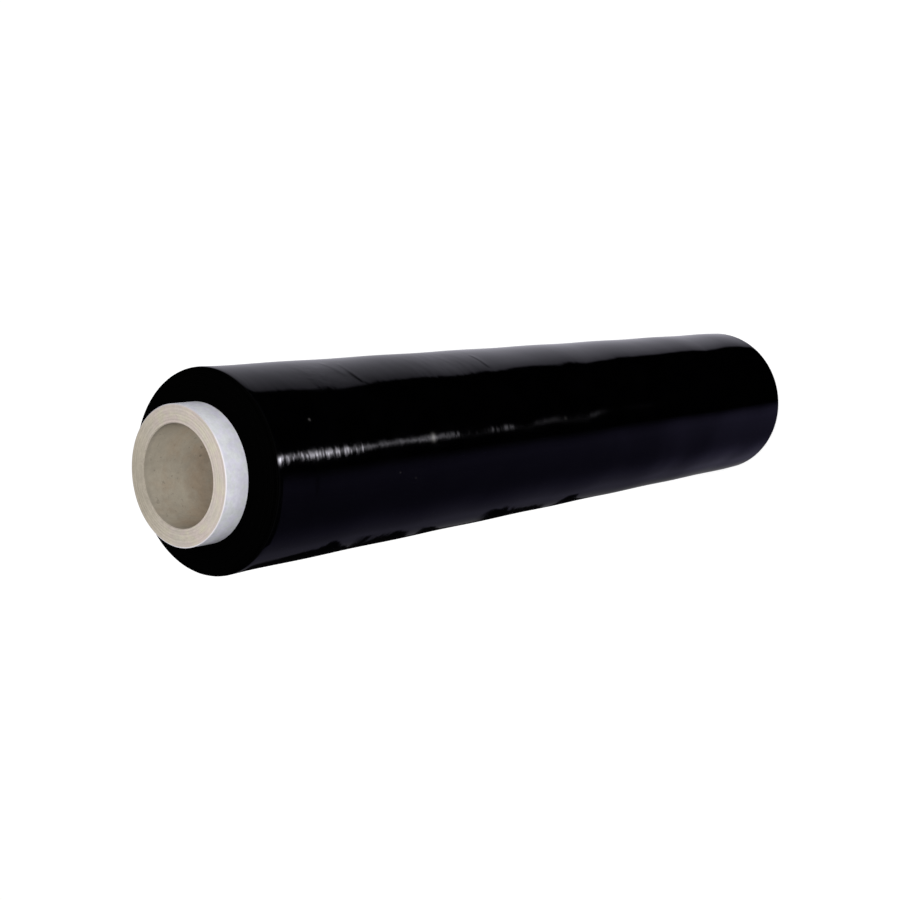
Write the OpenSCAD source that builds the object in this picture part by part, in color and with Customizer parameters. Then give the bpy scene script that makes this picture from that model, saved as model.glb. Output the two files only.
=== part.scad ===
// Roll of stretch film for wrapping goods by hand, wound tight on a thick paperboard core.
// The roll stands on one end of its core, and +Z runs along its axis. Lengths are in millimetres.

/* [Core] */
// Diameter of the bore, which slides over a dispenser's mandrel
core_bore_d = 50; // [30:0.5:77]
// Wall of the core, all its plies together
core_wall = 9.2; // [5:0.1:15]
// How far the core sticks out of the film at each end
core_stickout = 13.5; // [2:0.5:40]
// Number of board plies under the white one
ply_count = 6; // [2:1:8]
// Thickness of the smooth white outer ply
white_ply_t = 0.5; // [0.3:0.1:1]
// Width of the groove between two plies on a sawn end
ply_groove_w = 0.2; // [0.1:0.05:0.4]
// Depth of that groove
ply_groove_depth = 0.05; // [0.05:0.05:0.4]
// Bevel that the knife leaves at the bore's mouth
bore_bevel = 0.4; // [0.2:0.1:1]
// Bevel at the outer edge of each end
rim_bevel = 0.3; // [0.1:0.1:0.8]

/* [Film] */
// Width of the film, end face to end face
film_w = 500; // [250:5:1000]
// Depth of film wound on the core, counted along a radius
film_build = 16.05; // [8:0.05:60]
// Rounding where the side turns into the upper end face, where the outer turns draw in
top_shoulder_r = 5; // [0.5:0.25:7]
// The same at the lower end
base_shoulder_r = 2; // [0.5:0.25:7]
// How far the film's thicker edge swells the upper end
top_flare = 0.3; // [0:0.05:1.5]
// How far the lower end pulls in
base_pull_in = 0.2; // [0:0.05:1]
// Distance from an end at which the swelling or pull-in has almost gone
flare_run = 13; // [5:1:40]
// Height of the ridges left by uneven film gauge
gauge_rise = 0.12; // [0:0.02:0.4]
// Distance from one gauge ridge to the next
gauge_pitch = 71; // [30:1:150]

/* [Turns] */
// Radial step where the outermost turn ends
tail_step = 0.25; // [0.1:0.05:0.6]
// Direction in which that end lies, seen from above
tail_angle = 80; // [0:5:355]
// Distance between the rings that groups of turns leave on an end face
ring_pitch = 1.7; // [0.8:0.1:4]
// Width of such a ring's groove
ring_w = 0.6; // [0.2:0.1:0.7]
// Depth of such a ring's groove
ring_depth = 0.05; // [0.05:0.05:0.5]

/* [Hidden] */
$fn = 120;
// Steps of a shoulder's quarter round, and of the long side
shoulder_steps = 6;
side_steps = 36;
// What a cutting shape runs past the face that it cuts
overrun = 1;

bore_r = core_bore_d / 2;
core_r = bore_r + core_wall;
core_len = film_w + 2 * core_stickout;
board_r = core_r - white_ply_t;
ply_t = (board_r - bore_r) / ply_count;

film_z0 = core_stickout;
film_z1 = film_z0 + film_w;
film_r = core_r + film_build;
// Each half turn is an arc, and the second one's centre lies this far off the axis
centre_shift = tail_step / 2;

// Joints between neighbouring plies, as radii from the bore outwards
function ply_joints() = [for (k = [1 : ply_count - 1]) bore_r + k * ply_t];

// Ring grooves of an end face, as radii from the core out to where a shoulder of radius r begins
function ring_radii(r) = [
    for (k = [1 : 1 : floor((film_build - r - ring_w) / ring_pitch)]) core_r + k * ring_pitch
];

// One end face from the axis outwards: v grooves of width w and depth d at the radii in rs
function grooved(rs, w, d, z, into) = [
    for (r = rs, p = [[r - w / 2, z], [r, z + into * d], [r + w / 2, z]]) p
];

function reversed(pts) = [for (i = [len(pts) - 1 : -1 : 0]) pts[i]];

// How much of an end's swelling is left at distance d from that end
function fade(d) = exp(-pow(d / flare_run, 2));

// Radius of the wound film at height z
function wound_r(z) = film_r
    + top_flare * fade(film_z1 - z)
    - base_pull_in * fade(z - film_z0)
    + gauge_rise * sin(360 * (z - film_z0) / gauge_pitch);

// Board plies: one glued tube, with the joints showing as fine rings on both sawn ends
module board_plies() {
    rotate_extrude()
        polygon(concat(
            [[bore_r, bore_bevel], [bore_r + bore_bevel, 0]],
            grooved(ply_joints(), ply_groove_w, ply_groove_depth, 0, 1),
            [[board_r, 0], [board_r, core_len]],
            reversed(grooved(ply_joints(), ply_groove_w, ply_groove_depth, core_len, -1)),
            [[bore_r + bore_bevel, core_len], [bore_r, core_len - bore_bevel]]
        ));
}

// White ply: the smooth paper that covers the board, bevelled at both rims
module white_ply() {
    rotate_extrude()
        polygon([
            [board_r, 0],
            [core_r - rim_bevel, 0],
            [core_r, rim_bevel],
            [core_r, core_len - rim_bevel],
            [core_r - rim_bevel, core_len],
            [board_r, core_len]
        ]);
}

module core() {
    color("#c8bcae") board_plies();
    color("#dcdce4") white_ply();
}

// Section of the wound film from the axis outwards. A shift moves it off the axis with its rings.
module film_section(shift) {
    side_z0 = film_z0 + base_shoulder_r;
    side_z1 = film_z1 - top_shoulder_r;
    side_h = side_z1 - side_z0;
    quarter = [for (i = [0 : shoulder_steps]) 90 * i / shoulder_steps];
    r_base = wound_r(side_z0) + shift;
    r_top = wound_r(side_z1) + shift;
    base_rings = [for (r = ring_radii(base_shoulder_r)) r + shift];
    top_rings = [for (r = ring_radii(top_shoulder_r)) r + shift];
    polygon(concat(
        [[0, film_z0]],
        grooved(base_rings, ring_w, ring_depth, film_z0, 1),
        [for (a = quarter)
            [r_base - base_shoulder_r * (1 - sin(a)), side_z0 - base_shoulder_r * cos(a)]],
        [for (i = [1 : side_steps - 1])
            let (z = side_z0 + side_h * i / side_steps) [wound_r(z) + shift, z]],
        [for (a = reversed(quarter))
            [r_top - top_shoulder_r * (1 - sin(a)), side_z1 + top_shoulder_r * cos(a)]],
        reversed(grooved(top_rings, ring_w, ring_depth, film_z1, -1)),
        [[0, film_z1]]
    ));
}

// Wound film: two half turns about two centres run together smoothly on one side, and on the
// other they leave the step where the outermost turn ends. The turns cling into one mass.
module film() {
    color("#0b0b0d")
        rotate([0, 0, tail_angle])
            difference() {
                union() {
                    rotate_extrude(angle = 180)
                        film_section(0);
                    translate([centre_shift, 0, 0])
                        rotate([0, 0, 180])
                            rotate_extrude(angle = 180)
                                film_section(centre_shift);
                }
                translate([0, 0, film_z0 - overrun])
                    cylinder(r = core_r, h = film_w + 2 * overrun);
            }
}

core();
film();
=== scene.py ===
import math
import bmesh
import bpy
import numpy as np
from mathutils import Matrix, Vector


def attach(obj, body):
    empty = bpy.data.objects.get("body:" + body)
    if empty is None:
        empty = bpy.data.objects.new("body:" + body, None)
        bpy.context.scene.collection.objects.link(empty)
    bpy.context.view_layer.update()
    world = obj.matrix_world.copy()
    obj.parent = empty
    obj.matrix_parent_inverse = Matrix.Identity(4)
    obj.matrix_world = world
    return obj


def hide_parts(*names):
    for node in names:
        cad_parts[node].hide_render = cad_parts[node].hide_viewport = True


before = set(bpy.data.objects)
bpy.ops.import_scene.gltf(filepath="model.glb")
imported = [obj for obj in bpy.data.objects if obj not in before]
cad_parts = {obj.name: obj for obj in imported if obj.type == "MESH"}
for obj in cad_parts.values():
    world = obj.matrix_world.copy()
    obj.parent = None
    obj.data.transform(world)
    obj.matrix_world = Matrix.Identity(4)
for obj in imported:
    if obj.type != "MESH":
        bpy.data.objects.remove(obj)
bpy.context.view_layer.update()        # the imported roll: nodes core and film, standing on the core's lower end
mm = 0.001
degrees = 180 / math.pi


class Wire:
    # shader maths: one socket, on which + - * / ** add the Math nodes, with wires or plain numbers
    def __init__(self, graph, socket):
        self.graph = graph
        self.socket = socket

    def __getitem__(self, outlet):
        # another outlet of the same node, as in place["Z"]
        return Wire(self.graph, self.socket.node.outputs[outlet])

    def math(self, operation, *others):
        return self.graph.add("ShaderNodeMath", {"operation": operation}, dict(enumerate((self, *others))))

    def turned(self, operation, first):
        # the same with this wire as the second input
        return self.graph.add("ShaderNodeMath", {"operation": operation}, {0: first, 1: self})

    def __add__(self, other):
        return self.math("ADD", other)

    def __radd__(self, other):
        return self.math("ADD", other)

    def __sub__(self, other):
        return self.math("SUBTRACT", other)

    def __rsub__(self, other):
        return self.turned("SUBTRACT", other)

    def __mul__(self, other):
        return self.math("MULTIPLY", other)

    def __rmul__(self, other):
        return self.math("MULTIPLY", other)

    def __truediv__(self, other):
        return self.math("DIVIDE", other)

    def __pow__(self, other):
        return self.math("POWER", other)

    def __neg__(self):
        return self.math("MULTIPLY", -1.0)

    def __abs__(self):
        return self.math("ABSOLUTE")


class Graph:
    # the nodes of one material or world
    def __init__(self, owner):
        owner.use_nodes = True
        self.tree = owner.node_tree
        self.tree.nodes.clear()

    def add(self, kind, settings=None, sockets=None, outlet=0):
        # settings come first, because a node's sockets follow from them
        node = self.tree.nodes.new(kind)
        for name, value in (settings or {}).items():
            if name == "stops":
                elements = node.color_ramp.elements
                elements.remove(elements[1])
                (first, firstColour), *others = value
                elements[0].position = first
                elements[0].color = (*firstColour, 1)
                for at, colour in others:
                    elements.new(at).color = (*colour, 1)
            else:
                setattr(node, name, value)
        for name, value in (sockets or {}).items():
            if isinstance(value, Wire):
                self.tree.links.new(value.socket, node.inputs[name])
            else:
                node.inputs[name].default_value = value
        return Wire(self, node.outputs[outlet]) if len(node.outputs) else None

    def at(self, x, y, z):
        # three numbers as one place
        return self.add("ShaderNodeCombineXYZ", None, {0: x, 1: y, 2: z})

    def onPiece(self):
        # the place on a piece as a vector, its x, y and z in millimetres, and the distance from the axis
        place = self.add("ShaderNodeTexCoord", None, None, "Object")
        parts = self.add("ShaderNodeSeparateXYZ", None, {0: place})
        x, y, z = (parts[axis] / mm for axis in "XYZ")
        return place, x, y, z, (x * x + y * y) ** 0.5

    def noise(self, where, scale, detail=2.0, rough=0.5, flat=False):
        # about 0.5 in the middle; flat reads one number instead of a place
        settings = {"noise_dimensions": "1D"} if flat else {}
        source = "W" if flat else "Vector"
        return self.add("ShaderNodeTexNoise", settings,
                        {source: where, "Scale": scale, "Detail": detail, "Roughness": rough})

    def swing(self, noise, amount):
        # noise moved to swing about 0, times amount
        return (noise - 0.5) * amount

    def step(self, value, low, high, start=0.0, end=1.0):
        # start below low, end above high, and a smooth rise between them
        return self.add("ShaderNodeMapRange", {"interpolation_type": "SMOOTHSTEP"},
                        {0: value, 1: low, 2: high, 3: start, 4: end})

    def curve(self, value, points):
        # a broken line through points of (value, result)
        low, high = points[0][0], points[-1][0]
        least, most = min(r for v, r in points), max(r for v, r in points)
        stops = [((v - low) / (high - low), ((r - least) / (most - least),) * 3) for v, r in points]
        ramp = self.add("ShaderNodeValToRGB", {"stops": stops}, {0: (value - low) / (high - low)})
        return ramp * (most - least) + least

    def bell(self, value, middle, width):
        # 1 at middle, and down to 0.37 at a distance of width
        away = (value - middle) / width
        return (-(away * away)).math("EXPONENT")

    def blend(self, share, first, second):
        # colour mix; the colour sockets of a Mix node are inputs 6 and 7, and its colour is output 2
        return self.add("ShaderNodeMix", {"data_type": "RGBA"}, {0: share, 6: first, 7: second}, 2)

    def dim(self, colour, level):
        # a colour, as a wire or as numbers, times one number
        if not isinstance(colour, Wire):
            colour = tuple(colour)[:3]
        return self.add("ShaderNodeVectorMath", {"operation": "SCALE"}, {0: colour, "Scale": level})


def shown(red, green, blue):
    # a colour as a picture shows it, 0 to 255, turned into the linear light that nodes take
    def one(v):
        v = v / 255
        return v / 12.92 if v <= 0.04045 else ((v + 0.055) / 1.055) ** 2.4
    return (one(red), one(green), one(blue), 1)


weldWithin = 0.002 * mm      # points of a surface that lie closer than this become one


def gridPiece(name, points, sharpAbove):
    # points[i, j] is row i of the closed profile at column j of the turn; both run round, so the
    # quads (i, j), (i, j+1), (i+1, j+1), (i+1, j) close the surface, and they face outwards
    rows, columns = points.shape[:2]
    index = np.arange(rows * columns).reshape(rows, columns)
    beside = np.roll(index, -1, axis=1)
    above = np.roll(index, -1, axis=0)
    corners = np.stack([index, beside, np.roll(beside, -1, axis=0), above], axis=-1).reshape(-1, 4)
    mesh = bpy.data.meshes.new(name)
    mesh.from_pydata(points.reshape(-1, 3), [], corners.tolist())
    merged = bmesh.new()
    merged.from_mesh(mesh)
    bmesh.ops.remove_doubles(merged, verts=merged.verts, dist=weldWithin)
    merged.to_mesh(mesh)
    merged.free()
    mesh.polygons.foreach_set("use_smooth", np.ones(len(mesh.polygons), bool))
    mesh.set_sharp_from_angle(angle=math.radians(sharpAbove))
    piece = bpy.data.objects.new(name, mesh)
    bpy.context.scene.collection.objects.link(piece)
    return piece


def revolved(radius, height, turn):
    # a point of the profile at (radius, height) turned through the angle turn: (r cos t, r sin t, z)
    return np.stack([radius * np.cos(turn), radius * np.sin(turn), height + 0 * turn], axis=-1)


def grooves(radius, middles, width, depth):
    # depth of the v grooves at a radius: full at each middle, and none half a width away
    away = np.abs(np.asarray(radius)[:, None] - np.asarray(middles)[None, :]).min(axis=1)
    return depth * np.clip(1 - away / (width / 2), 0, 1)


film = {
    "coreRadius": 34.2,      # all lengths of a piece in millimetres
    "build": 16.05,          # depth of the turns on the core
    "low": 13.5, "high": 513.5,
    "lowShoulder": 2.0, "highShoulder": 5.0,
    "flare": 0.3, "pullIn": 0.2, "flareRun": 13.0,
    "gaugeRise": 0.12, "gaugePitch": 71.0,
    "tailStep": 0.25, "tailAngle": 80.0,        # this angle in degrees, and the others in radians
    "ringPitch": 1.7, "ringWidth": 0.6, "ringDepth": 0.05,
    "around": 264, "along": 168, "shoulderSteps": 9, "perRing": 12,
    "sharpAbove": 40,
    "ior": 1.5, "endRoughness": 0.3,
    "sideFrom": (46.0, 49.0),                   # the side's relief grows between these radii
    "sideRadius": 50.0,                         # turns a length round the side into an angle
    # each noise is given as scale, detail and roughness; each step as from, to, start and end
    "wander": (22, 1), "wanderReach": 5,
    "ripplePitch": 5.3, "rippleLength": 14.0, "rippleRise": 0.09, "ripple": (1, 1.6, 0.55),
    "rippleFields": (14, 1), "rippleFieldStep": (0.35, 0.62, 0.45, 1.0),
    "rippleLoose": (300.0, 370.0, 0.35, 1.0),   # the ripples fade towards the base,
    "rippleTight": (478.0, 496.0, 0.0, 0.12),   # and they grow a little at the top
    "rippleTightAt": (-1.45, 0.35),             # round this angle, as wide as this
    "rippleCalm": ((-2.5, 0.52, 0.88), (-1.5, 0.25, 0.3)),      # calm fields: angle, half angle, loss
    "swell": (24, 1.5, 0.4), "swellRise": 0.5,
    "bridged": 0.8,                             # share of the flare that the outer turn bridges
    # fine ticks where the highlight lies in front: round this angle, growing between these heights
    "tickPitch": 3.2, "tickLength": 6.0, "tickRise": 0.085, "tick": (1, 1),
    "tickAt": (-1.5, 0.25), "tickHeights": (355.0, 400.0),
    "peel": (150, 2), "peelRise": 0.015,
    "peelPatch": (456.0, -0.66, 13.0, 0.2),     # height, angle, half length, half angle
    "peelPatchRise": 0.22,
    "turns": (2600, 2, 0.6), "turnsRise": 0.05, "turnsStep": (0.35, 0.65),
    "cloud": (60, 3, 0.6), "cloudStep": (0.35, 0.75),
    "roughStep": (0.3, 0.8, 0.045, 0.0625),
    "black": ((0.0001, 0.0001, 0.0002, 1), (0.0004, 0.0004, 0.0006, 1)),
    "cutBlack": ((0.0001, 0.0001, 0.0001, 1), (0.0009, 0.0009, 0.0009, 1)),
    "dullTop": (4.4, 3.7), "dullBase": (1.1, 1.7),      # the dull rims end between these depths from the ends
    "creaseFade": 0.1,                          # angle over which a crease ends
    "creaseCrest": 0.3,                         # half width of its crest
    "creaseGentle": 1.8,                        # its gentle side is this many times as wide
    "foldWidth": 1.5, "foldEnd": (0.3, 0.18),   # its dull line: as wide as this, and angles before the end
    # creases: height at the middle angle, slope, bend, middle, start and end angle, half width, rise,
    # and how dull the film is along the steep side
    "creases": ((432.7, 0.0, 34.0, -0.60, -0.85, -0.40, 1.2, 0.10, 0.62),
                (440.5, 10.0, 0.0, -0.52, -0.74, -0.34, 1.7, 0.09, 0.15),
                (325.0, 2.0, 0.0, -0.60, -0.80, -0.42, 1.2, 0.09, 0.2),
                (206.0, 6.0, 12.0, 1.70, 1.10, 2.30, 0.9, 0.10, 0.4),
                (368.0, -9.0, 0.0, 2.60, 2.20, 3.00, 0.9, 0.08, 0.3)),
    # soft rises where the turns lie unevenly: height, angle, half length, half angle, rise
    "bulges": ((464, -1.06, 28, 0.21, 0.75), (250, -1.03, 22, 0.21, 0.50), (345, 0.70, 30, 0.22, 0.45),
               (150, 2.40, 28, 0.24, 0.50), (400, 2.75, 24, 0.20, 0.40)),
    # dust on the film: its colour, and the specks' height, angle, size and share
    "dust": (0.16, 0.155, 0.15, 1),
    "specks": ((482.3, -1.207, 0.7, 0.26), (399.0, -1.54, 1.7, 1.0), (425.6, -1.845, 0.4, 0.15),
               (413.0, -1.93, 0.4, 0.12), (280.4, -1.522, 1.1, 0.09), (250.0, 1.9, 0.4, 0.4),
               (120.0, 2.6, 0.5, 0.5), (390.0, 0.6, 0.4, 0.3), (60.0, -2.7, 0.4, 0.4)),
}


def woundRadius(z):
    # radius of the side at height z: plain radius, swollen at the top and drawn in at the base as
    # exp(-(distance / run)^2), and with the low sine of the film's uneven gauge
    def fade(away):
        return np.exp(-(away / film["flareRun"]) ** 2)
    return (film["coreRadius"] + film["build"] + film["flare"] * fade(film["high"] - z)
            - film["pullIn"] * fade(z - film["low"])
            + film["gaugeRise"] * np.sin(2 * np.pi * (z - film["low"]) / film["gaugePitch"]))


def endFace(edge, level, into):
    # radii and heights of a film end from the core out to edge, with a ring groove at each pitch
    step = film["ringPitch"] / film["perRing"]
    radius = np.arange(film["coreRadius"], edge - 0.5 * step, step)
    rings = film["coreRadius"] + film["ringPitch"] * np.arange(
        1, 1 + int((edge - film["coreRadius"] - film["ringWidth"]) // film["ringPitch"]))
    return radius, level + into * grooves(radius, rings, film["ringWidth"], film["ringDepth"])


def filmProfile():
    # the closed section: lower end outwards, lower shoulder, side, upper shoulder, upper end inwards
    sideLow, sideHigh = film["low"] + film["lowShoulder"], film["high"] - film["highShoulder"]
    edgeLow = woundRadius(sideLow) - film["lowShoulder"]
    edgeHigh = woundRadius(sideHigh) - film["highShoulder"]
    lowR, lowZ = endFace(edgeLow, film["low"], 1)
    highR, highZ = endFace(edgeHigh, film["high"], -1)
    quarter = np.linspace(0, np.pi / 2, film["shoulderSteps"])
    side = np.linspace(sideLow, sideHigh, film["along"] + 1)[1:-1]
    radius = np.concatenate([
        lowR, edgeLow + film["lowShoulder"] * np.sin(quarter), woundRadius(side),
        edgeHigh + film["highShoulder"] * np.cos(quarter), highR[::-1]])
    height = np.concatenate([
        lowZ, sideLow - film["lowShoulder"] * np.cos(quarter), side,
        sideHigh + film["highShoulder"] * np.sin(quarter), highZ[::-1]])
    return radius, height


def filmSurface():
    # a half turn about the axis and a half turn about a centre half a tail step away: past 180
    # degrees the radius grows by (1 + cos t) half steps, and the drop at 360 is the tail's edge
    radius, height = filmProfile()
    turn = np.linspace(0, 2 * np.pi, film["around"] + 1)
    growth = film["tailStep"] / 2 * np.where(turn > np.pi, 1 + np.cos(turn), 0)
    grows = radius > film["coreRadius"] + 0.01 * film["ringPitch"]
    grown = radius[:, None] + grows[:, None] * growth[None, :]
    return mm * revolved(grown, height[:, None], turn[None, :] + math.radians(film["tailAngle"]))


def filmFinish():
    # jet black and very glossy; the relief is in millimetres of height
    material = bpy.data.materials.new("glossBlackFilm")
    g = Graph(material)
    place, x, y, z, radius = g.onPiece()
    turn = y.math("ARCTAN2", x)
    outward = g.step(radius, *film["sideFrom"])

    def spot(level, angle, halfLength, halfAngle):
        return g.bell(z, level, halfLength) * g.bell(turn, angle, halfAngle)

    # ripples round the roll, which break a highlight up; they wander a little
    wander = g.noise(place, *film["wander"]) * film["wanderReach"]
    rippleAt = g.at(x / film["rippleLength"], y / film["rippleLength"], (z + wander) / film["ripplePitch"])
    fields = g.step(g.noise(place, *film["rippleFields"]), *film["rippleFieldStep"])
    rippleShare = fields * g.step(z, *film["rippleLoose"])
    rippleShare = rippleShare + g.step(z, *film["rippleTight"]) * g.bell(turn, *film["rippleTightAt"])
    for angle, halfAngle, loss in film["rippleCalm"]:
        rippleShare = rippleShare * (1 - loss * g.bell(turn, angle, halfAngle))
    relief = g.noise(rippleAt, *film["ripple"]) * rippleShare * film["rippleRise"]
    # long soft waves where the turns lie unevenly
    relief = relief + g.noise(place, *film["swell"]) * film["swellRise"]
    # the outer turn bridges the swollen end, so that a highlight runs straight on there
    relief = relief - g.bell(z, film["high"], film["flareRun"]) * film["flare"] * film["bridged"]
    # fine ticks where the highlight lies in front
    tickAt = g.at(x / film["tickLength"], y / film["tickLength"], z / film["tickPitch"])
    tickShare = g.bell(turn, *film["tickAt"]) * g.step(z, *film["tickHeights"])
    relief = relief + g.noise(tickAt, *film["tick"]) * tickShare * film["tickRise"]
    # fine unevenness, stronger in one patch
    peelShare = film["peelRise"] + spot(*film["peelPatch"]) * film["peelPatchRise"]
    relief = relief + g.noise(place, *film["peel"]) * peelShare
    # a few creases that run part of the way round, steep towards the top and gentle towards the base
    folded = 0.0
    fade = film["creaseFade"]
    crest = film["creaseCrest"]
    foldFrom, foldTo = film["foldEnd"]
    for level, slope, bend, middle, start, end, width, rise, dullness in film["creases"]:
        off = turn - middle
        past = z - (level + slope * off - bend * off * off)
        reach = g.step(turn, start, start + fade) * g.step(turn, end - fade, end, 1.0, 0.0)
        spread = g.step(past, -crest, crest, film["creaseGentle"] * width, width)
        relief = relief + g.bell(past, 0, spread) * reach * rise
        isFolded = g.bell(past, width, film["foldWidth"] * width)
        isFolded = isFolded * g.step(turn, end - foldFrom, end - foldTo, 1.0, 0.0)
        folded = folded + isFolded * reach * dullness
    for level, angle, halfLength, halfAngle, rise in film["bulges"]:
        relief = relief + spot(level, angle, halfLength, halfAngle) * rise
    # fine turns on the end faces
    turns = g.noise(radius * mm, *film["turns"], flat=True)
    relief = outward * relief + (1 - outward) * turns * film["turnsRise"]
    bump = g.add("ShaderNodeBump", None, {"Strength": 1.0, "Distance": mm, "Height": relief})
    cloud = g.noise(place, *film["cloud"])
    dust = 0.0
    for level, angle, size, share in film["specks"]:
        dust = dust + spot(level, angle, size, size / film["sideRadius"]) * share
    dust = dust.math("MINIMUM", 1.0)
    colour = g.blend(g.step(cloud, *film["cloudStep"]), *film["black"])
    gloss = g.add("ShaderNodeBsdfPrincipled", None, {
        "Base Color": g.blend(dust, colour, film["dust"]), "Roughness": g.step(cloud, *film["roughStep"]),
        "IOR": film["ior"], "Normal": bump})
    # the cut edges of the turns make the end faces and the round over their rims dull
    cutColour = g.blend(g.step(turns, *film["turnsStep"]), *film["cutBlack"])
    dull = g.add("ShaderNodeBsdfPrincipled", None, {
        "Base Color": g.blend(dust, cutColour, film["dust"]), "Roughness": film["endRoughness"],
        "IOR": film["ior"], "Specular IOR Level": 0.0, "Normal": bump})
    topFrom, topTo = film["dullTop"]
    baseFrom, baseTo = film["dullBase"]
    isDull = g.step(z, film["high"] - topFrom, film["high"] - topTo)
    isDull = isDull + g.step(z, film["low"] + baseFrom, film["low"] + baseTo, 1.0, 0.0)
    isDull = (isDull + folded * outward).math("MINIMUM", 1.0)
    shader = g.add("ShaderNodeMixShader", None, {0: isDull, 1: gloss, 2: dull})
    g.add("ShaderNodeOutputMaterial", None, {0: shader})
    return material


woundFilm = gridPiece("woundFilm", filmSurface(), film["sharpAbove"])
woundFilm.data.materials.append(filmFinish())
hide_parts("film")
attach(woundFilm, "root")
print("film: wound,", len(woundFilm.data.polygons), "faces")


core = {
    "bore": 25.0, "wall": 9.2, "length": 527.0,
    "plies": 6, "whitePly": 0.5,
    "grooveWidth": 0.2, "grooveDepth": 0.05,
    "boreBevel": 0.4, "rimBevel": 0.3,
    "around": 240, "sideSteps": 12, "sharpAbove": 30,
    "board": shown(186, 179, 171), "pink": shown(190, 178, 171), "straw": shown(191, 184, 167),
    "aged": shown(188, 179, 163), "inside": shown(172, 164, 149), "insideBrown": shown(169, 154, 135),
    "white": shown(214, 213, 225), "whiteGrey": shown(213, 215, 219), "cut": shown(216, 212, 217),
    "edgeBlur": 0.03, "boreStep": (0.06, 0.3),      # where the white ply starts, and where the bore ends
    # each noise is given as scale, detail and roughness; each step as from, to, start and end
    "grain": (1000, 3, 0.7), "mottle": (300, 3, 0.6), "patch": (62, 2, 0.5),
    "plyNoise": (1, 3, 0.6), "streak": (8, 0.85), "band": (4.5, 0.3),   # how fine round and outwards
    # the board's tint, where a band of one ply is more straw-coloured, and one side is aged
    "tintStep": (0.43, 0.68), "strawPly": (4.3, 1.6), "strawShare": 0.08,
    "patchStep": (0.38, 0.66, 0.0, 0.6), "agedStep": (2, 30),
    # joints between the plies, which wander and come and go
    "plyWander": 0.6, "plyTone": (1.7, 0, 0.5), "plyToneFrom": 0.37,
    "jointStep": (0.05, 0.3, 1.0, 0.0), "jointFields": (38, 2), "jointFieldStep": (0.42, 0.62),
    "firstJoint": (0.2, 0.35), "firstJointLoss": 0.7,       # how far past the joint, and how wide
    "rimStep": (-0.5, -0.15),                               # from the board's outer edge
    "mouthStep": (0.25, 0.6, 0.16, 0.0),                    # from the bore
    "mouthSide": (-16, 4),
    # the board's tone, and how much each of its causes adds
    "tone": {"level": 0.93, "grain": 0.28, "mottle": 0.2, "streaks": 0.2, "plyTone": 0.1,
             "joint": 0.05, "firstJoint": 0.08, "rim": 0.05},
    # shares of the board's tone: painted shade at the sawn end, growing from -y to +y, and in the bore
    # painted shade with the depth and painted light towards +x
    "grime": ((-34, -0.04), (-20, -0.01), (0, 0.08), (18, 0.13), (31, 0.27)), "grimeWander": 14,
    "boreTone": ((0, 0.89), (12, 0.92), (22, 0.96), (36, 0.80), (45, 0.73), (60, 0.7)),
    "boreTop": ((-22, 0.0), (-10, 0.0), (8, 0.0), (23, 0.38)),
    "boreMottle": 0.34, "boreWash": 0.25, "boreGrain": 0.2, "wash": (45, 1),
    "specks": (420, 2, 0.55), "speckStep": (0.63, 0.72), "speckTone": 0.22,
    "brown": (80, 4, 0.65), "brownStep": (0.35, 0.72),
    "brownDeep": (24, 0.006), "brownLow": (-12, -22, 0.0, 0.14),
    "wornStep": (0.4, 4.0, 0.5, 0.0),
    # the white ply's paper, and its cut edge
    "cutStep": (0.28, 0.32, 1.0, 0.0), "cutNoise": (45, 2), "cutTone": (0.74, 0.5),
    "cutTopStep": (6, 30, 1.0, 0.62),
    "paper": (240, 2), "paperStep": (0.4, 0.6),
    "paperTone": 0.66, "fibre": (520, 3, 0.65), "fibreTone": 0.36, "cloud": (170, 2), "cloudTone": 0.32,
    "roughStep": (0, 1, 0.92, 0.62), "ior": 1.45, "specular": 0.3,
    "grainRise": 0.06, "mottleRise": 0.05, "fine": (2600, 2), "fineRise": 0.02, "bump": 0.7,
}
core["outer"] = core["bore"] + core["wall"]
core["boardOuter"] = core["outer"] - core["whitePly"]
core["ply"] = (core["boardOuter"] - core["bore"]) / core["plies"]


def coreProfile():
    # the closed section: bore mouth, lower end with a v groove at each ply joint, rim bevel, the
    # outside, and the same again down from the upper end
    joints = core["bore"] + core["ply"] * np.arange(1, core["plies"])
    half = core["grooveWidth"] / 2
    near = joints[:, None] + np.array([-half, 0, half])[None, :]
    radius = np.sort(np.concatenate([
        [core["bore"] + core["boreBevel"]], near.ravel(), joints - core["ply"] / 2,
        [core["boardOuter"], core["outer"] - core["rimBevel"]]]))
    sunk = grooves(radius, joints, core["grooveWidth"], core["grooveDepth"])
    steps = core["sideSteps"]
    side = np.linspace(core["rimBevel"], core["length"] - core["rimBevel"], steps)
    bore = np.linspace(core["length"] - core["boreBevel"], core["boreBevel"], steps)
    profileR = np.concatenate([
        radius, np.full(steps, core["outer"]), radius[::-1], np.full(steps, core["bore"])])
    profileZ = np.concatenate([sunk, side, core["length"] - sunk[::-1], bore])
    return profileR, profileZ


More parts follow.
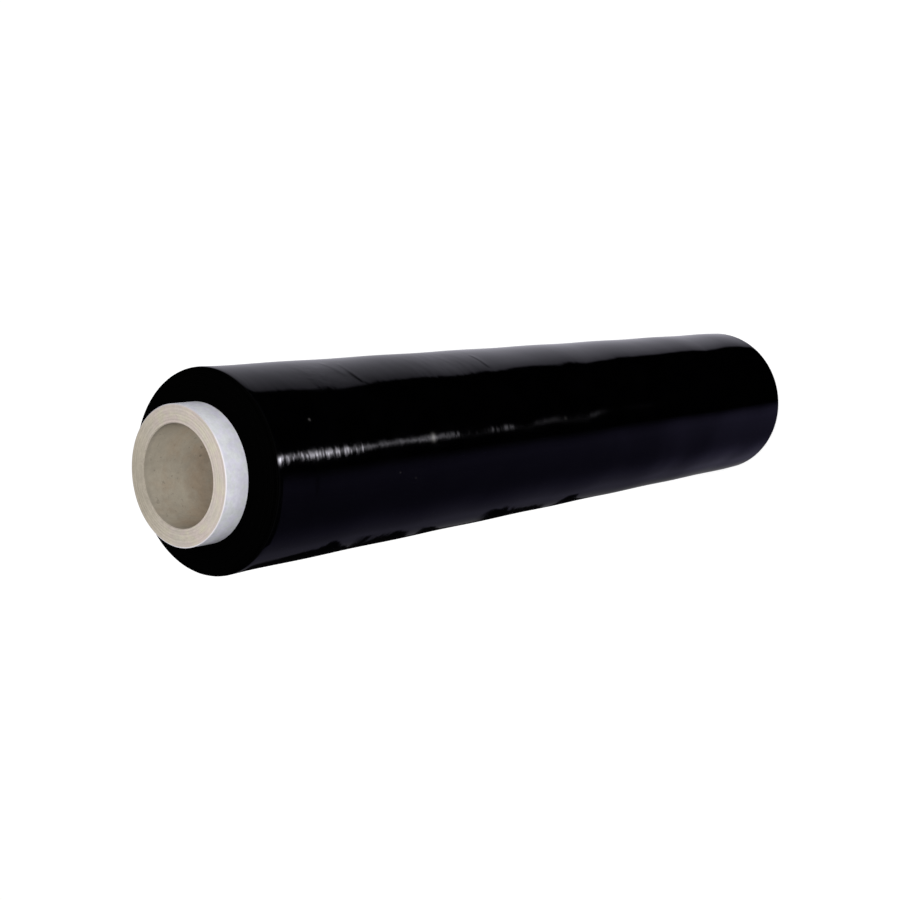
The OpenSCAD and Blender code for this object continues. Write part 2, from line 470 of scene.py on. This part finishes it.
def coreFinish():
    # board that is told apart from its white outer ply by radius, and its sawn ends by height
    material = bpy.data.materials.new("coreBoard")
    g = Graph(material)
    place, x, y, z, radius = g.onPiece()
    edge = core["boardOuter"]
    middle = core["length"] / 2
    depth = middle - abs(z - middle)     # from the nearer end
    isWhite = g.step(radius, edge - core["edgeBlur"], edge + core["edgeBlur"])
    boreFrom, boreTo = core["boreStep"]
    isBore = g.step(radius, core["bore"] + boreFrom, core["bore"] + boreTo, 1.0, 0.0)
    # speckle of single fibres, mottling and patches
    grain = g.noise(place, *core["grain"])
    mottle = g.noise(place, *core["mottle"])
    patch = g.noise(place, *core["patch"])

    def alongPlies(around, outwards):
        # noise that runs along the plies, on a place made of the angle round the core and the radius
        at = g.at(x / radius * around, y / radius * around, radius * outwards)
        return g.noise(at, *core["plyNoise"])

    bandAt, bandWide = core["strawPly"]
    tint = alongPlies(*core["band"]) + g.bell(radius, core["bore"] + bandAt, bandWide) * core["strawShare"]
    board = g.blend(g.step(tint, *core["tintStep"]), core["pink"], core["straw"])
    board = g.blend(g.step(patch, *core["patchStep"]), board, core["board"])
    board = g.blend(g.step(y, *core["agedStep"]), board, core["aged"])
    # each ply has its own tone, and a thin dark line that comes and goes where two plies meet
    plies = (radius + g.swing(patch, core["plyWander"]) - core["bore"]) / core["ply"]
    plyTone = g.noise(plies.math("FLOOR") + core["plyToneFrom"], *core["plyTone"], flat=True)
    fromJoint = abs(plies - plies.math("ROUND")) * core["ply"]
    shows = g.step(g.noise(place, *core["jointFields"]), *core["jointFieldStep"])
    joint = g.step(fromJoint, *core["jointStep"]) * shows
    firstAt, firstWide = core["firstJoint"]
    firstJoint = g.bell(radius, core["bore"] + core["ply"] + firstAt, firstWide)
    firstJoint = firstJoint * (1 - shows * core["firstJointLoss"])
    rimFrom, rimTo = core["rimStep"]
    rim = g.step(radius, edge + rimFrom, edge + rimTo)
    # painted shade: the bore's mouth is darker on the side that faces away from the camera, towards +y
    mouthFrom, mouthTo, mouthStart, mouthEnd = core["mouthStep"]
    mouthShade = g.step(radius, core["bore"] + mouthFrom, core["bore"] + mouthTo, mouthStart, mouthEnd)
    mouthShade = mouthShade * g.step(y, *core["mouthSide"])
    # painted shade: the sawn end's tone is taken down towards +y, along an edge that wanders
    grime = g.curve(y + g.swing(patch, core["grimeWander"]), core["grime"])
    adds = core["tone"]
    tone = adds["level"] + g.swing(grain, adds["grain"]) + g.swing(mottle, adds["mottle"])
    tone = tone + g.swing(alongPlies(*core["streak"]), adds["streaks"]) + g.swing(plyTone, adds["plyTone"])
    tone = tone - joint * adds["joint"] - firstJoint * adds["firstJoint"] + rim * adds["rim"]
    # the painted shade of the sawn end and of the bore's mouth is taken off the board's tone here
    board = g.dim(board, tone - grime - mouthShade)
    # the bore's ply is clouded with grey and brown and has dark specks; near its mouth it blends into the board
    specks = g.step(g.noise(place, *core["specks"]), *core["speckStep"])
    deepFrom, deepRate = core["brownDeep"]
    brown = g.noise(place, *core["brown"]) + (depth - deepFrom) * deepRate + g.step(x, *core["brownLow"])
    inside = g.blend(g.step(brown, *core["brownStep"]), core["inside"], core["insideBrown"])
    # painted shade and light in the bore: darker from some 22 mm in, and brighter towards +x
    boreTone = g.curve(depth, core["boreTone"]) + g.curve(x, core["boreTop"])
    boreTone = boreTone + g.swing(mottle, core["boreMottle"])
    boreTone = boreTone + g.swing(g.noise(place, *core["wash"]), core["boreWash"])
    inside = g.dim(inside, boreTone + g.swing(grain, core["boreGrain"]) - specks * core["speckTone"])
    inside = g.blend(g.step(depth, *core["wornStep"]), inside, board)
    # the white ply is mottled paper, and its cut edge is brighter in some places than in others, and darker
    # towards +x
    isCut = g.step(depth, *core["cutStep"])
    greyShare = g.step(g.noise(place, *core["paper"]), *core["paperStep"])
    paper = g.blend(greyShare, core["white"], core["whiteGrey"])
    fibre = g.noise(place, *core["fibre"]) * core["fibreTone"]
    cloud = g.noise(place, *core["cloud"]) * core["cloudTone"]
    paper = g.dim(paper, core["paperTone"] + fibre + cloud)
    cutLevel, cutSwing = core["cutTone"]
    cutTone = cutLevel + g.noise(place, *core["cutNoise"]) * cutSwing
    cut = g.dim(core["cut"], cutTone * g.step(x, *core["cutTopStep"]))
    colour = g.blend(isWhite, g.blend(isBore, board, inside), g.blend(isCut, paper, cut))
    relief = grain * core["grainRise"] * (1 - isWhite) + mottle * core["mottleRise"]
    relief = relief + g.noise(place, *core["fine"]) * core["fineRise"]
    bump = g.add("ShaderNodeBump", None, {"Strength": core["bump"], "Distance": mm, "Height": relief})
    shader = g.add("ShaderNodeBsdfPrincipled", None, {
        "Base Color": colour, "Roughness": g.step(isWhite, *core["roughStep"]),
        "IOR": core["ior"], "Specular IOR Level": core["specular"], "Normal": bump})
    g.add("ShaderNodeOutputMaterial", None, {0: shader})
    return material


coreR, coreZ = coreProfile()
coreTurn = np.linspace(0, 2 * np.pi, core["around"], endpoint=False)
tubePoints = mm * revolved(coreR[:, None], coreZ[:, None], coreTurn[None, :])
boardTube = gridPiece("boardTube", tubePoints, core["sharpAbove"])
boardTube.data.materials.append(coreFinish())
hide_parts("core")
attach(boardTube, "root")
print("core: turned,", len(boardTube.data.polygons), "faces")


view = {
    "location": (0.0, -0.53021, 0.95808),
    "forward": (-0.00811, 0.64353, -0.76538),
    "right": (-0.13744, -0.75886, -0.63659),   # the camera lies on its side, so that the roll does too
    "lens": 57.246, "sensor": 36, "reach": 100,
}


def photoCamera():
    ahead = Vector(view["forward"]).normalized()
    up = Vector(view["right"]).cross(ahead).normalized()
    right = ahead.cross(up)
    data = bpy.data.cameras.new("photoCamera")
    data.lens = view["lens"]
    data.sensor_width = view["sensor"]
    data.clip_end = view["reach"]
    camera = bpy.data.objects.new("photoCamera", data)
    turned = Matrix((right, up, -ahead)).transposed().to_4x4()
    camera.matrix_world = Matrix.Translation(view["location"]) @ turned
    bpy.context.scene.collection.objects.link(camera)
    bpy.context.scene.camera = camera


photoCamera()
print("camera: set")


studio = {
    "floorHalf": 30.0,
    "floorColour": (0.86, 0.86, 0.86, 1),
    "floorLift": (0.8, 4.0, 0.46, 0.95),    # from and to these distances, so much is added towards white
    "fill": 0.45,                       # level of the world for matt surfaces,
    "fillUp": 0.35, "fillBack": 0.15,   # and how much more comes from the photo's top and from the far side
    "lampAt": (0.0, -1.0, 1.75),        # near the camera's line, so that the shadow falls behind the roll
    "lampAim": (0.0, 0.0, 0.3),
    "lampSize": 0.4,
    "lampLevel": 0.78,                  # of white, on a surface that faces the lamp
    "greenLoss": 0.1, "blueGain": 0.75,     # what full blueness does to a colour
    "sharpEdge": 0.001,                     # share of a turn over which a sweep starts
    # What gloss mirrors, as (angle round the photo's up and level, level, blueness). First the backdrop
    # that the upper side shows, then how far its edge leans and how bright it is at each depth.
    "backdrop": ((-104, 0.50, 0.1), (-81, 0.48, 0.16), (-66, 0.45, 0.16), (-51, 0.40, 0.18),
                 (-36, 0.33, 0.18), (-26, 0.28, 0.2), (-18, 0.21, 0.2), (-12.5, 0.15, 0.25), (-9, 0.0, 0.3)),
    "backdropLean": ((-61, -7.6), (-58.5, -6.5), (-57, -3.0), (-54.6, -6.4), (-51.8, 3.2), (-49.5, 0.4),
                     (-47.5, 3.0), (-46.2, 0.4), (-45.4, 1.6), (-44.6, 0.6), (-43.6, 0.6), (-42, 0.0)),
    "backdropDepth": ((-61, 1.13), (-58, 1.05), (-54.6, 1.15), (-52, 1.05), (-50.8, 1.12), (-49, 0.85),
                      (-47, 0.84), (-46, 1.0), (-44, 1.0), (-42.2, 0.92)),
    "backdropRise": ((-38, 1.0), (-32, 0.7), (-20, 0.65), (5, 0.6), (25, 0.15), (40, 0.0)),
    # then the dusk under and behind the roll, with the upper edge of the dark along its foot
    "duskBelow": (-38, -33, 1.0, 0.0), "duskFar": (-61.5, -57, 1.6, 1.0),
    "duskNear": (-42.9, -41.6), "duskNearTurn": (-100, 90), "duskNearLoss": 0.9,
    "dusk": ((-180, 0.046, 0.8), (-170, 0.057, 0.6), (-160, 0.072, 0.55), (-150, 0.062, 0.5),
             (-135, 0.075, 0.2), (-124, 0.11, 0.1), (-115, 0.20, 0.05), (-104, 0.45, 0.0),
             (-101, 0.0, 0.0), (94, 0.0, 1.0), (100, 0.020, 1.0), (105, 0.038, 1.0), (113, 0.046, 1.0),
             (122, 0.038, 1.0), (137, 0.030, 1.0), (148, 0.025, 1.0), (160, 0.025, 1.0),
             (172, 0.036, 0.9), (180, 0.046, 0.8)),
    "darkBlur": (-3, 3), "darkTurn": (-80, -60, 1.0, 0.0), "darkShare": 0.97,
    "darkTops": ((-55.2, -104), (-54.9, -152), (-54, -154), (-53.6, -146), (-53.35, -118), (-52.95, -118),
                 (-52.7, -156), (-52.45, -140), (-52.1, -162), (-51.6, -155), (-50.8, -161), (-50.35, -152),
                 (-50.15, -124), (-49.35, -122), (-49.2, -140), (-48.9, -146), (-48.7, -142), (-48.5, -151),
                 (-47.95, -125), (-47.5, -125), (-47.4, -146), (-46.6, -156), (-45.75, -136), (-45.5, -128),
                 (-45.45, -149), (-44.6, -163), (-43.7, -150), (-43.1, -147), (-42.3, -145),
                 (-41.2, -134), (-40, -104)),
    # and the lamp that lies along the side: where its middle is, how wide and how bright, at each depth
    "streakTurn": ((-58, 71), (-56, 71.5), (-55, 75), (-53.7, 81), (-52, 78), (-50.5, 76), (-49, 75.5),
                   (-47, 76), (-45, 77), (-43.2, 77), (-42.4, 77.5), (-41.6, 79)),
    "streakWidth": ((-58, 3.4), (-50, 3.0), (-47, 2.7), (-45, 2.9), (-43, 3.5)),
    "streakLevel": ((-58, 0.0), (-56.2, 0.01), (-55.6, 0.25), (-55.1, 0.2), (-54.7, 0.04), (-53, 0.02),
                    (-51.4, 0.03), (-50.9, 0.3), (-50.3, 1.1), (-49.8, 1.05), (-49, 0.75), (-48.3, 0.95),
                    (-47.6, 1.6), (-46.7, 1.3), (-45.8, 1.2), (-45, 1.6), (-44.4, 3.2), (-43.7, 8.0),
                    (-42.9, 6.0), (-42.2, 8.0), (-41.4, 23.0), (-37, 14.0), (-30, 7.0), (-22, 3.5),
                    (-12, 2.0), (8, 1.3), (24, 0.0)),
    # a soft box at the roll's own height for the other views, round +Y, and a faint haze all round
    "boxRise": (-36, -26), "boxFall": (10, 26, 1.0, 0.0), "hazeFall": (35, 50, 0.04, 0.0),
    "boxAt": 90, "boxSpread": (14, 30, 0.4, 0.0),
    "lightTint": (0.97, 0.95, 1.05),
}
upward = Vector((0.983, -0.182, 0.0))       # what the photo has as up, from the roll's axis
sideward = Vector((-0.182, -0.983, 0.0))    # level in the photo, from the roll towards the camera


def layFloor():
    half = studio["floorHalf"]
    mesh = bpy.data.meshes.new("paleFloor")
    corners = [(-half, -half, 0), (half, -half, 0), (half, half, 0), (-half, half, 0)]
    mesh.from_pydata(corners, [], [(0, 1, 2, 3)])
    floor = bpy.data.objects.new("paleFloor", mesh)
    bpy.context.scene.collection.objects.link(floor)
    material = bpy.data.materials.new("paleFloor")
    g = Graph(material)
    # the camera sees the pale floor lifted towards white, more so far away; it lights nothing
    place = g.add("ShaderNodeTexCoord", None, None, "Object")
    away = g.add("ShaderNodeVectorMath", {"operation": "LENGTH"}, {0: place}, "Value")
    ray = g.add("ShaderNodeLightPath", None, None, "Is Camera Ray")
    lift = (ray + ray["Is Transmission Ray"]) * g.step(away, *studio["floorLift"])
    matt = g.add("ShaderNodeBsdfDiffuse", None, {"Color": studio["floorColour"]})
    glow = g.add("ShaderNodeEmission", None, {"Color": (1, 1, 1, 1), "Strength": lift})
    both = g.add("ShaderNodeAddShader", None, {0: matt, 1: glow})
    g.add("ShaderNodeOutputMaterial", None, {0: both})
    mesh.materials.append(material)
    floor.visible_glossy = False     # the gloss mirrors the studio below, as the photo's lying roll does


def hangLamp():
    # an area lamp of power P lights a surface at distance d that faces it to P / (pi d)^2 of white
    at = Vector(studio["lampAt"])
    aim = Vector(studio["lampAim"])
    data = bpy.data.lights.new("softLamp", "AREA")
    data.shape = "DISK"
    data.size = studio["lampSize"]
    data.energy = studio["lampLevel"] * (math.pi * (at - aim).length) ** 2
    lamp = bpy.data.objects.new("softLamp", data)
    lamp.matrix_world = Matrix.Translation(at) @ (at - aim).to_track_quat("Z", "Y").to_matrix().to_4x4()
    lamp.visible_glossy = False
    bpy.context.scene.collection.objects.link(lamp)


def sweep(g, turn, levels):
    # light that depends only on the angle round the roll, -180 to 180; blueness takes green off and
    # adds blue
    stops = []
    for at, level, blue in levels:
        green = level * (1 - studio["greenLoss"] * blue)
        stops.append(((at + 180) / 360, (level, green, level * (1 + studio["blueGain"] * blue))))
    start = stops[0][0]
    if start > 0:
        # dark up to the first stop
        stops = [(0, (0, 0, 0)), (start - studio["sharpEdge"], (0, 0, 0))] + stops
    return g.add("ShaderNodeValToRGB", {"stops": stops}, {0: (turn + 180) / 360})


def lightStudio():
    # Matt surfaces get a soft fill, a little stronger from above. Camera rays see white. Glossy rays
    # see the backdrop, the dusk and the lamp where the photo's studio has them, and its dark elsewhere.
    world = bpy.data.worlds.new("studio")
    bpy.context.scene.world = world
    world.cycles.sampling_method = "NONE"
    g = Graph(world)
    way = g.add("ShaderNodeTexCoord", None, None, "Generated")
    along = g.add("ShaderNodeVectorMath", {"operation": "DOT_PRODUCT"}, {0: way, 1: upward}, "Value")
    across = g.add("ShaderNodeVectorMath", {"operation": "DOT_PRODUCT"}, {0: way, 1: sideward}, "Value")
    compass = g.add("ShaderNodeSeparateXYZ", None, {0: way})
    steep = compass["Z"].math("ARCSINE") * degrees
    turn = across.math("ARCTAN2", along) * degrees     # 0 is photo up, 90 is level towards the camera
    backdrop = sweep(g, turn - g.curve(steep, studio["backdropLean"]), studio["backdrop"])
    backdropLevel = g.curve(steep, studio["backdropRise"]) * g.curve(steep, studio["backdropDepth"])
    backdrop = g.dim(backdrop, backdropLevel)
    pastTop = turn - g.curve(steep, studio["darkTops"])
    isDark = g.step(pastTop, *studio["darkBlur"]) * g.step(turn, *studio["darkTurn"]) * studio["darkShare"]
    nearLoss = g.step(steep, *studio["duskNear"]) * g.step(turn, *studio["duskNearTurn"])
    duskLevel = g.step(steep, *studio["duskBelow"]) * (1 - isDark) * (1 - studio["duskNearLoss"] * nearLoss)
    dusk = g.dim(sweep(g, turn, studio["dusk"]), duskLevel * g.step(steep, *studio["duskFar"]))
    streak = g.bell(turn, g.curve(steep, studio["streakTurn"]), g.curve(steep, studio["streakWidth"]))
    streak = streak * g.curve(steep, studio["streakLevel"])
    boxRise = g.step(steep, *studio["boxRise"])
    east = compass["Y"].math("ARCTAN2", compass["X"]) * degrees
    box = g.step(abs(east - studio["boxAt"]), *studio["boxSpread"])
    box = box * (boxRise * g.step(steep, *studio["boxFall"]))
    haze = boxRise * g.step(steep, *studio["hazeFall"])
    light = g.dim(studio["lightTint"], streak + (box + haze))
    mirrored = g.add("ShaderNodeVectorMath", {"operation": "ADD"}, {0: backdrop, 1: dusk})
    mirrored = g.add("ShaderNodeVectorMath", {"operation": "ADD"}, {0: mirrored, 1: light})
    ray = g.add("ShaderNodeLightPath", None, None, "Is Camera Ray")
    white = (ray + ray["Is Transmission Ray"]).math("MINIMUM", 1.0)
    fill = studio["fill"] + studio["fillUp"] * along - studio["fillBack"] * across
    plain = g.dim((1.0, 1.0, 1.0), fill * (1 - white) + white)
    colour = g.blend(ray["Is Glossy Ray"], plain, mirrored)
    shine = g.add("ShaderNodeBackground", None, {"Color": colour, "Strength": 1.0})
    g.add("ShaderNodeOutputWorld", None, {0: shine})


layFloor()
hangLamp()
lightStudio()
bpy.context.scene.view_settings.view_transform = "Standard"
print("studio: lit")
